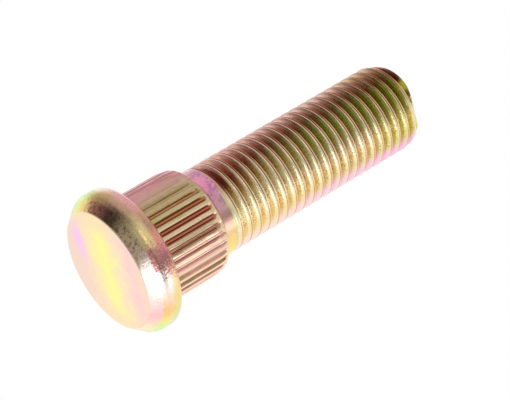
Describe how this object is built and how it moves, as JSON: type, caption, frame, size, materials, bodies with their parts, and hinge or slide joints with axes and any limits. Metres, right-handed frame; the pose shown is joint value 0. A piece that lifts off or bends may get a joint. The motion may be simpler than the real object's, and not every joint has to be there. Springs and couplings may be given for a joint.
{
  "type": "wheel bolt",
  "caption": "Press-in wheel bolt with a bevelled round head, a straight-splined collar, a short neck and a threaded shank; clamps a road wheel to its hub.",
  "frame": {"origin": "centre of the flat face of the head, on the surface that the bolt stands on", "axes": "+Z along the shank, from the head to the threaded end; X and Y are free, and X passes through one spline groove"},
  "size_m": [0.0192, 0.0192, 0.0478],
  "materials": {
    "plated_steel": "zinc plated and yellow passivated, with an iridescent bloom"
  },
  "bodies": {
    "root": {"wheel_bolt": "plated_steel"}
  },
  "joints": []
}
